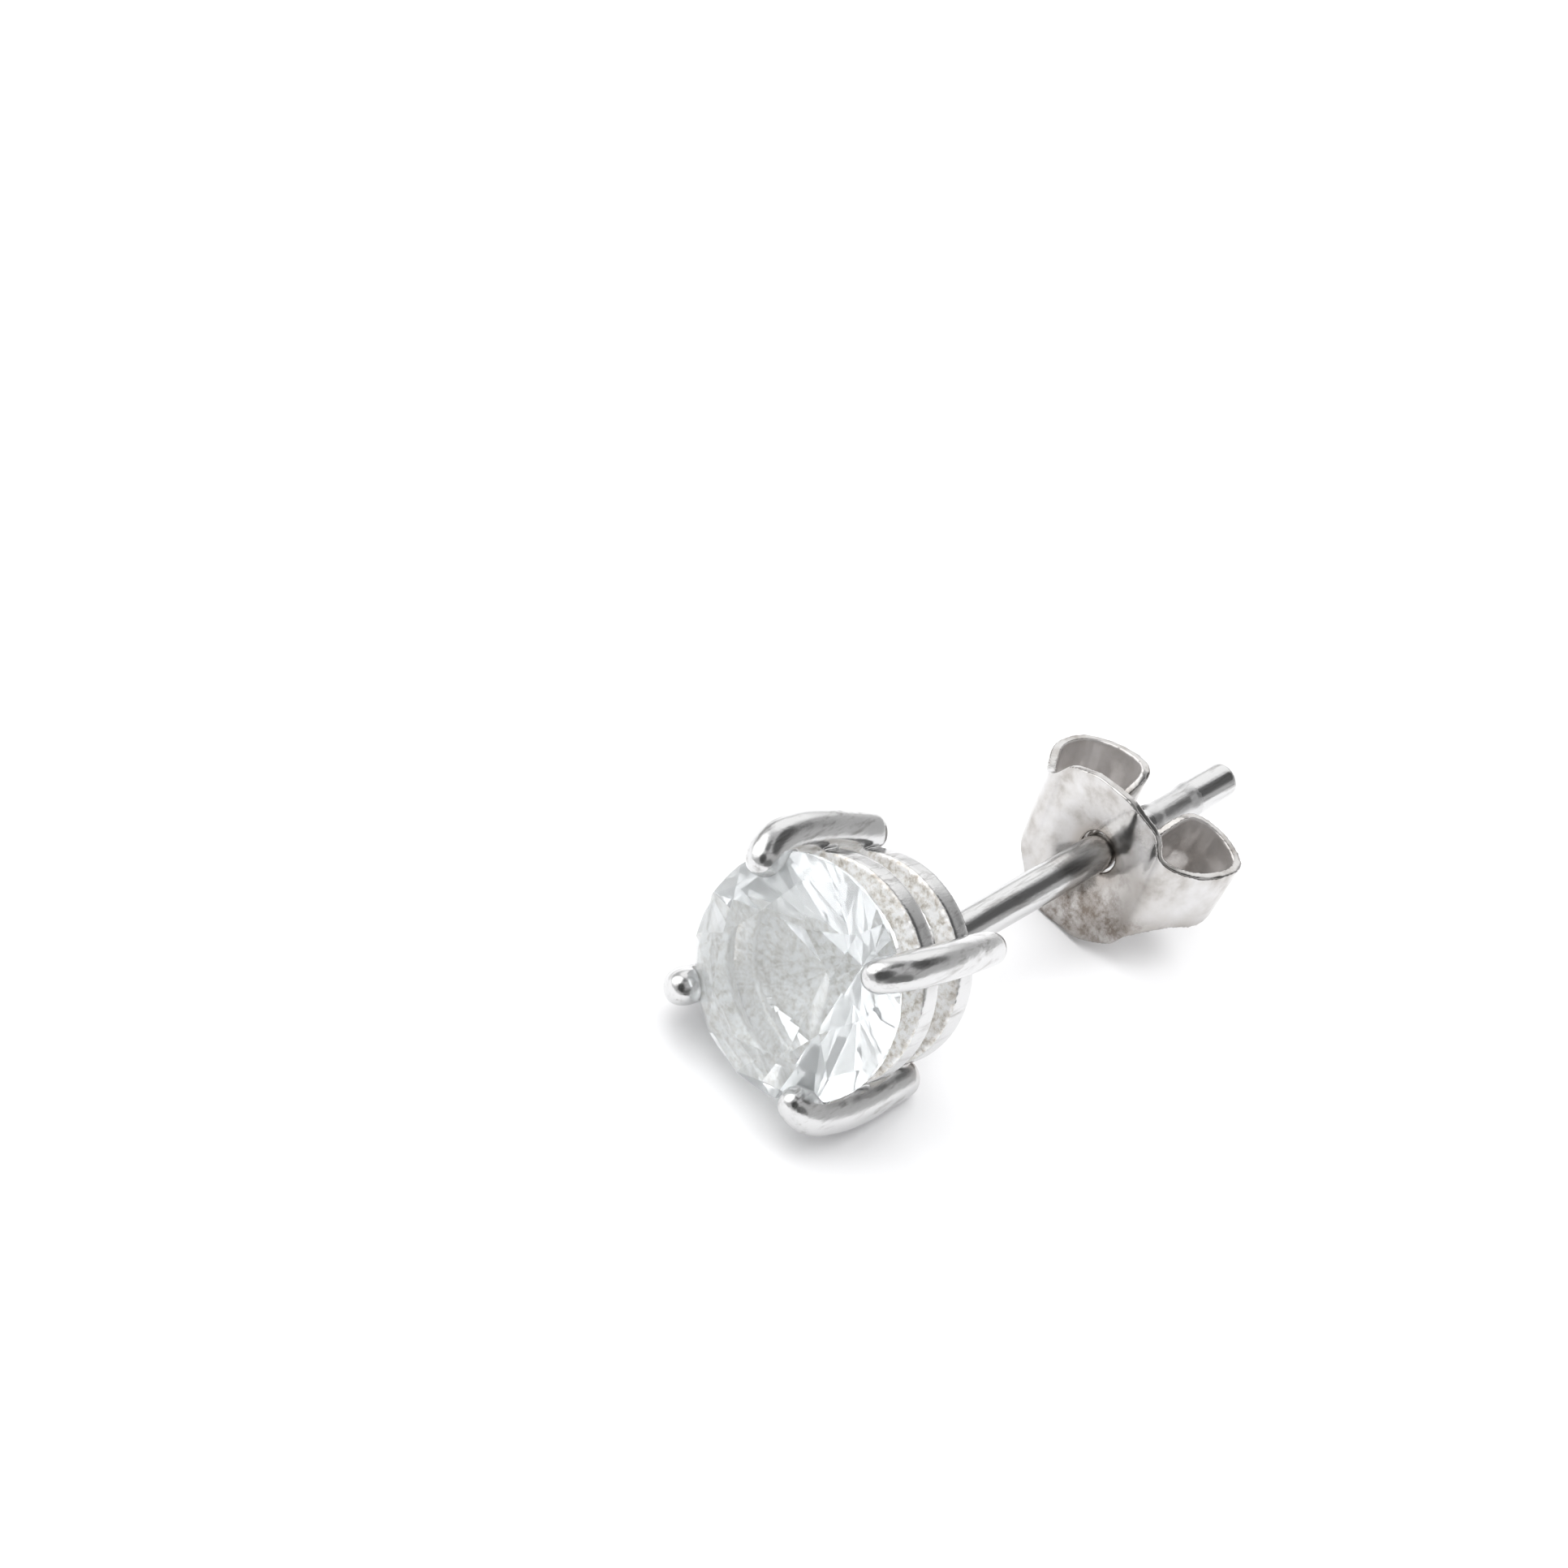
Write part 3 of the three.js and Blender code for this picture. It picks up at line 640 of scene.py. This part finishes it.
def castSilver(look):
    # Sterling silver, investment cast and tumbled: mirror bright on the claws, with painted reflection, a
    # dark grey laid along the polishing streaks, and sandy and sparkling where the mould's grain was left on
    # the rings' faces.
    material, tree = startMaterial("cast_sterling_silver")
    place = addNode(tree, "ShaderNodeTexCoord").outputs["Object"]
    masks = ("roughCast", "wornGroove", "solderDirt", "stain")
    rough, worn, dirt, stain = [addNode(tree, "ShaderNodeAttribute", {"attribute_name": mask}).outputs["Fac"]
                                for mask in masks]
    grain = addNode(tree, "ShaderNodeTexNoise", {"Scale": look["grainPerMm"] * perMetre, "Detail": 3.0},
                    {"Vector": place}).outputs["Fac"]
    pits = addNode(tree, "ShaderNodeTexNoise",
                   {"Scale": look["pitsPerMm"] * perMetre, "Detail": 4.0, "Roughness": 0.7},
                   {"Vector": place}).outputs["Fac"]
    pitTone = addNode(tree, "ShaderNodeValToRGB", {}, {"Fac": pits})
    setRamp(pitTone, look["pits"])
    base = addNode(tree, "ShaderNodeMix", {"data_type": "RGBA", 6: toLinear(look["bright"])},
                   {0: rough, 7: pitTone.outputs["Color"]})
    drawn = addNode(tree, "ShaderNodeMapping", {"Scale": (1.0, look["drawn"], 1.0)}, {"Vector": place})
    streaks = addNode(tree, "ShaderNodeTexNoise",
                      {"Scale": look["streaksPerMm"] * perMetre, "Detail": 4.0, "Roughness": 0.65},
                      {"Vector": drawn.outputs["Vector"]}).outputs["Fac"]
    # Painted reflection: the dark grey goes into the polished parts' colour along the streaks.
    paintedReflectionMuch = addNode(tree, "ShaderNodeMapRange",
                         {"From Min": look["paintedReflectionFrom"], "From Max": look["paintedReflectionFull"],
                          "To Max": look["paintedReflectionMost"]},
                         {"Value": streaks})
    polished = addNode(tree, "ShaderNodeMath", {"operation": "SUBTRACT", 0: 1.0}, {1: rough})
    paintedReflectionShare = addNode(tree, "ShaderNodeMath", {"operation": "MULTIPLY"},
                          {0: paintedReflectionMuch.outputs[0], 1: polished.outputs[0]})
    paintedReflectionMixed = addNode(tree, "ShaderNodeMix", {"data_type": "RGBA", 7: toLinear(look["paintedReflectionGrey"])},
                       {0: paintedReflectionShare.outputs[0], 6: base.outputs[2]})
    dirtShare = addNode(tree, "ShaderNodeMath", {"operation": "MULTIPLY"}, {0: dirt, 1: pits})
    dirty = addNode(tree, "ShaderNodeMix", {"data_type": "RGBA", 7: toLinear(look["dirt"])},
                    {0: dirtShare.outputs[0], 6: paintedReflectionMixed.outputs[2]})
    stainShare = addNode(tree, "ShaderNodeMath", {"operation": "MULTIPLY"}, {0: stain, 1: grain})
    stained = addNode(tree, "ShaderNodeMix", {"data_type": "RGBA", 7: toLinear(look["stain"])},
                      {0: stainShare.outputs[0], 6: dirty.outputs[2]})
    roughness = addNode(tree, "ShaderNodeMapRange",
                        {"To Min": look["polishedRoughness"], "To Max": look["roughRoughness"]},
                        {"Value": rough})
    wornMore = addNode(tree, "ShaderNodeMath", {"operation": "MULTIPLY_ADD", 1: look["wornRoughness"]},
                       {0: worn, 2: roughness.outputs[0]})
    strength = addNode(tree, "ShaderNodeMath",
                       {"operation": "MULTIPLY_ADD", 1: look["roughBump"], 2: look["grainBump"]},
                       {0: rough})
    strengthWorn = addNode(tree, "ShaderNodeMath", {"operation": "MULTIPLY_ADD", 1: look["wornBump"]},
                           {0: worn, 2: strength.outputs[0]})
    lines = addNode(tree, "ShaderNodeBump",
                    {"Distance": look["bumpDepth"] * mm, "Strength": look["streakBump"]},
                    {"Height": streaks})
    bump = addNode(tree, "ShaderNodeBump", {"Distance": look["bumpDepth"] * mm},
                   {"Height": grain, "Strength": strengthWorn.outputs[0], "Normal": lines.outputs["Normal"]})
    metal = addNode(tree, "ShaderNodeMapRange", {"To Min": 1.0, "To Max": look["roughMetal"]},
                    {"Value": rough})
    shader = addNode(tree, "ShaderNodeBsdfPrincipled", {},
                     {"Metallic": metal.outputs[0], "Base Color": stained.outputs[2],
                      "Roughness": wornMore.outputs[0], "Normal": bump.outputs["Normal"]})
    addNode(tree, "ShaderNodeOutputMaterial", {}, {"Surface": shader.outputs["BSDF"]})
    return material


sheetLook = {
    "tone": ((0.3, "A39E99"), (0.5, "C6C4C2"), (0.7, "D4D3D3")),
    # The inside colour is painted light: a paler colour that lifts the shade inside the scrolls.
    "inside": "DAD6D4", "paintedLightShare": 0.45,
    "insideMetal": 0.6,         # matt where nothing polishes it
    "dirt": "8C7F72", "darkSpots": "776E66",
    "mottlePerMm": 1.6, "finePerMm": 9.0, "blotchesPerMm": 3.2,
    "blotchFrom": 0.3, "blotchFull": 0.6,
    "roughnessLow": 0.07, "roughnessHigh": 0.22, "bumpDepth": 0.012, "bump": 0.12,
}


def sheetSilver(look):
    # Silver sheet, rolled, stamped and polished: bright outside; duller inside the scrolls, where painted
    # light makes it paler against the shade; brown with tarnish round the hole, where a cloth doesn't reach,
    # and darker and browner in spots towards the plate's bottom.
    material, tree = startMaterial("stamped_silver_sheet")
    place = addNode(tree, "ShaderNodeTexCoord").outputs["Object"]
    masks = ("insideScroll", "holeDirt", "darkSpots")
    inside, dirt, darkSpots = [addNode(tree, "ShaderNodeAttribute", {"attribute_name": mask}).outputs["Fac"]
                             for mask in masks]
    mottle = addNode(tree, "ShaderNodeTexNoise",
                     {"Scale": look["mottlePerMm"] * perMetre, "Detail": 5.0, "Roughness": 0.6},
                     {"Vector": place}).outputs["Fac"]
    fine = addNode(tree, "ShaderNodeTexNoise", {"Scale": look["finePerMm"] * perMetre, "Detail": 3.0},
                   {"Vector": place}).outputs["Fac"]
    blotches = addNode(tree, "ShaderNodeTexNoise",
                       {"Scale": look["blotchesPerMm"] * perMetre, "Detail": 6.0, "Roughness": 0.7},
                       {"Vector": place}).outputs["Fac"]
    tone = addNode(tree, "ShaderNodeValToRGB", {}, {"Fac": mottle})
    setRamp(tone, look["tone"])
    # Painted light: the inside of the scrolls gets the paler colour, against the shade there.
    paintedLightShare = addNode(tree, "ShaderNodeMath", {"operation": "MULTIPLY", 1: look["paintedLightShare"]},
                          {0: inside})
    base = addNode(tree, "ShaderNodeMix", {"data_type": "RGBA", 7: toLinear(look["inside"])},
                   {0: paintedLightShare.outputs[0], 6: tone.outputs["Color"]})
    dirtShare = addNode(tree, "ShaderNodeMath", {"operation": "MULTIPLY"}, {0: dirt, 1: mottle})
    dirty = addNode(tree, "ShaderNodeMix", {"data_type": "RGBA", 7: toLinear(look["dirt"])},
                    {0: dirtShare.outputs[0], 6: base.outputs[2]})
    # The spots go darker and browner in blotches, mostly towards the plate's bottom.
    patchy = addNode(tree, "ShaderNodeMapRange",
                     {"From Min": look["blotchFrom"], "From Max": look["blotchFull"]}, {"Value": blotches})
    darkSpotShare = addNode(tree, "ShaderNodeMath", {"operation": "MULTIPLY"},
                           {0: darkSpots, 1: patchy.outputs[0]})
    darkSpotMixed = addNode(tree, "ShaderNodeMix", {"data_type": "RGBA", 7: toLinear(look["darkSpots"])},
                        {0: darkSpotShare.outputs[0], 6: dirty.outputs[2]})
    roughness = addNode(tree, "ShaderNodeMapRange",
                        {"To Min": look["roughnessLow"], "To Max": look["roughnessHigh"]},
                        {"Value": mottle})
    bump = addNode(tree, "ShaderNodeBump", {"Distance": look["bumpDepth"] * mm, "Strength": look["bump"]},
                   {"Height": fine})
    metal = addNode(tree, "ShaderNodeMapRange", {"To Min": 1.0, "To Max": look["insideMetal"]},
                    {"Value": inside})
    shader = addNode(tree, "ShaderNodeBsdfPrincipled", {},
                     {"Metallic": metal.outputs[0], "Base Color": darkSpotMixed.outputs[2],
                      "Roughness": roughness.outputs[0], "Normal": bump.outputs["Normal"]})
    addNode(tree, "ShaderNodeOutputMaterial", {}, {"Surface": shader.outputs["BSDF"]})
    return material


stoneLook = {
    "colour": "FAFDFE",
    "ior": 1.42,                # less than topaz's 1.61, so that the metal shows behind the table
    "clear": 0.84,              # the rest is a milky veil
}


def clearTopaz(look):
    # White topaz, faceted and polished: clear with a faint cool tint.
    material, tree = startMaterial("white_topaz")
    shader = addNode(tree, "ShaderNodeBsdfPrincipled",
                     {"Base Color": toLinear(look["colour"]), "Roughness": 0.0, "IOR": look["ior"],
                      "Transmission Weight": look["clear"]})
    addNode(tree, "ShaderNodeOutputMaterial", {}, {"Surface": shader.outputs["BSDF"]})
    return material


def whiteTable():
    # White laminate, pressed matt: it gives a soft shadow and no reflection.
    material, tree = startMaterial("white_table")
    shader = addNode(tree, "ShaderNodeBsdfPrincipled", {"Base Color": toLinear("FBFBFC"), "Roughness": 0.9})
    addNode(tree, "ShaderNodeOutputMaterial", {}, {"Surface": shader.outputs["BSDF"]})
    return material


# Camera and light
cameraForm = {
    "place": (36.357, -77.718, 74.427), "look": (-0.3626, 0.67454, -0.64305), "roll": 24.29,
    "focalPixels": 6779.8, "framePixels": 1932, "sensor": 36.0, "clip": (0.005, 20),
}


def makeCamera(form):
    data = bpy.data.cameras.new("camera")
    data.sensor_width = form["sensor"]
    data.sensor_fit = "HORIZONTAL"
    data.lens = form["focalPixels"] / form["framePixels"] * form["sensor"]
    data.clip_start, data.clip_end = form["clip"]
    camera = bpy.data.objects.new("camera", data)
    bpy.context.collection.objects.link(camera)
    look = Vector(form["look"]).normalized()
    side = look.cross(Vector((0, 0, 1))).normalized()
    up = side.cross(look)
    roll = math.radians(form["roll"])
    right = side * math.cos(roll) + up * math.sin(roll)
    top = up * math.cos(roll) - side * math.sin(roll)
    turn = Matrix((right, top, -look)).transposed().to_4x4()
    camera.matrix_world = Matrix.Translation(Vector(form["place"]) * mm) @ turn
    bpy.context.scene.camera = camera


lightForm = {
    "strength": 1.0,
    "horizon": -0.1,            # the direction's Z where the cloth's colours start
    "cloth": ((0.0, "D2D2D2"), (0.15, "C8C8C8"), (0.5, "C6C6C6"), (1.0, "D2D2D3")),
    "patches": (                # toward, the cosines where a patch starts and is full, and its grey
        ((-0.7, -0.35, 0.62), 0.75, 0.88, 1.9),
        ((-0.5, 0.72, 0.5), 0.86, 0.95, 1.3),
        ((0.34, -0.67, 0.66), 0.85, 0.925, 0.09),
        ((0.34, 0.67, 0.66), 0.9, 0.96, 0.12),
        ((-0.05, 0.1, 1.0), 0.95, 0.985, 0.2),
        ((0.95, -0.2, 0.25), 0.86, 0.93, 0.2),
    ),
    "lampPlace": (0.02, 0.03, 0.4), "lampSize": 0.6, "lampPower": 1.9,     # metres and watts
    "tableHalf": 2,             # metres
}


# A tent of white cloth: bright towards the lamps, dark where the camera looks in and in its seams.
def makeTent(form):
    world = bpy.data.worlds.new("light_tent")
    world.use_nodes = True
    tree = world.node_tree
    tree.nodes.clear()
    direction = addNode(tree, "ShaderNodeTexCoord").outputs["Generated"]
    height = addNode(tree, "ShaderNodeSeparateXYZ", {}, {0: direction})
    rise = addNode(tree, "ShaderNodeMapRange", {"From Min": form["horizon"], "From Max": 1.0},
                   {"Value": height.outputs["Z"]})
    cloth = addNode(tree, "ShaderNodeValToRGB", {}, {"Fac": rise.outputs[0]})
    setRamp(cloth, form["cloth"])
    colour = cloth.outputs["Color"]
    for toward, start, full, grey in form["patches"]:
        near = addNode(tree, "ShaderNodeVectorMath",
                       {"operation": "DOT_PRODUCT", 1: Vector(toward).normalized()}, {0: direction})
        amount = addNode(tree, "ShaderNodeMapRange",
                         {"interpolation_type": "SMOOTHSTEP", "From Min": start, "From Max": full},
                         {"Value": near.outputs["Value"]})
        mixed = addNode(tree, "ShaderNodeMix", {"data_type": "RGBA", 7: (grey, grey, grey, 1)},
                        {0: amount.outputs[0], 6: colour})
        colour = mixed.outputs[2]
    light = addNode(tree, "ShaderNodeBackground", {"Strength": form["strength"]}, {"Color": colour})
    addNode(tree, "ShaderNodeOutputWorld", {}, {"Surface": light.outputs["Background"]})
    bpy.context.scene.world = world


def makeStage(form):
    half = form["tableHalf"]
    corners = [(-half, -half, 0), (half, -half, 0), (half, half, 0), (-half, half, 0)]
    floor = newObject("floor", corners, [(0, 1, 2, 3)])
    floor.data.materials.append(whiteTable())
    makeTent(form)
    lamp = bpy.data.lights.new("overhead_lamp", "AREA")
    lamp.size = form["lampSize"]
    lamp.energy = form["lampPower"]
    obj = bpy.data.objects.new("overhead_lamp", lamp)
    obj.location = form["lampPlace"]
    obj.rotation_euler = (-Vector(form["lampPlace"])).to_track_quat("-Z", "Y").to_euler()
    obj.visible_glossy = False      # the tent's own light is what the silver mirrors
    bpy.context.collection.objects.link(obj)
    bpy.context.scene.view_settings.view_transform = "Standard"
    bpy.context.scene.cycles.glossy_bounces = 10        # light goes round in the stone many times
    bpy.context.scene.cycles.transmission_bounces = 16
    bpy.context.scene.cycles.max_bounces = 20


def finishPiece(obj, material, body, node):
    coords = coordsOf(obj.data)
    coords[:, 2] = np.maximum(coords[:, 2], tableClear)
    setCoords(obj.data, coords)
    obj.data.materials.clear()
    obj.data.materials.append(material)
    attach(obj, body)
    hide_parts(node)
    print(obj.name, len(obj.data.polygons), "faces")


makeCamera(cameraForm)
makeStage(lightForm)
print("camera and table")
finishPiece(makeStone(stoneForm), clearTopaz(stoneLook), "stud", "stone")
finishPiece(makeSetting(settingForm), castSilver(castLook), "stud", "setting")
finishPiece(makeBack(backForm), sheetSilver(sheetLook), "friction_back", "butterfly_back")
